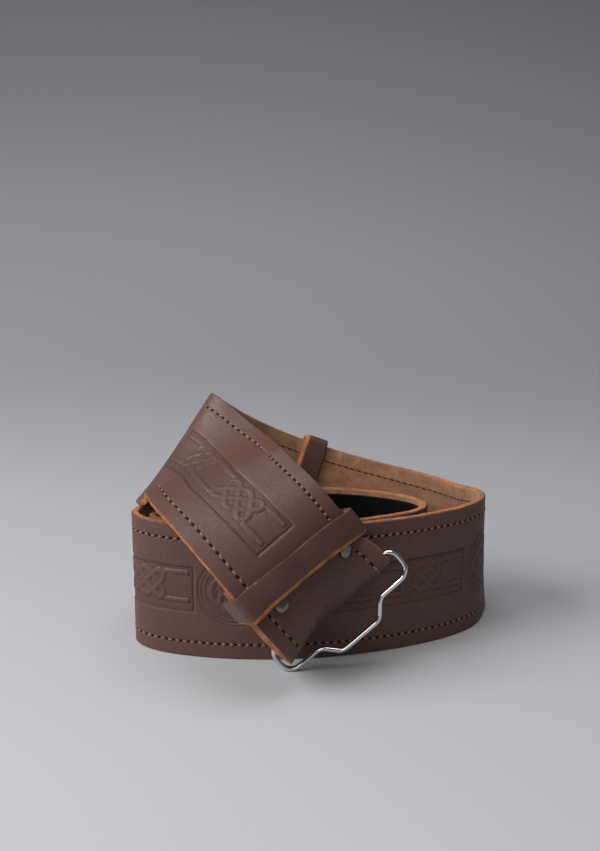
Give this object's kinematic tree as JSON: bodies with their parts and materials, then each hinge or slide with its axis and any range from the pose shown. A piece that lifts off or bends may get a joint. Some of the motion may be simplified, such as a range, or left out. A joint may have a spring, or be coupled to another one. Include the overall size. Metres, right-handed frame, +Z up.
{
  "type": "kilt belt",
  "caption": "Brown leather kilt belt with embossed Celtic knotwork, coiled on its long edge, with leather keepers and a steel wire catch loop at its folded end.",
  "frame": {"origin": "middle of the bottom of the belt's bounding box, on the surface that the strap's long edge stands on", "axes": "+X to the right along the coil's front, +Y towards the back of the coil, +Z up"},
  "size_m": [0.1544, 0.1236, 0.1002],
  "materials": {
    "leather": "satin",
    "tape": "matte",
    "chrome_wire": "polished",
    "rivet_metal": "satin"
  },
  "bodies": {
    "belt": {"strap": "leather", "touch_fastener": "tape", "keeper_front": "leather", "keeper_back": "leather", "rivet_left": "rivet_metal", "rivet_right": "rivet_metal"},
    "loop": {"wire_loop": "chrome_wire"}
  },
  "joints": [
    {"name": "loop_swing", "type": "hinge", "parent": "belt", "child": "loop", "pos_m": [0.00473, -0.02205, 0.0285], "axis": [-0.7601, -0.1388, -0.6348], "range_deg": [0, 50]}
  ]
}
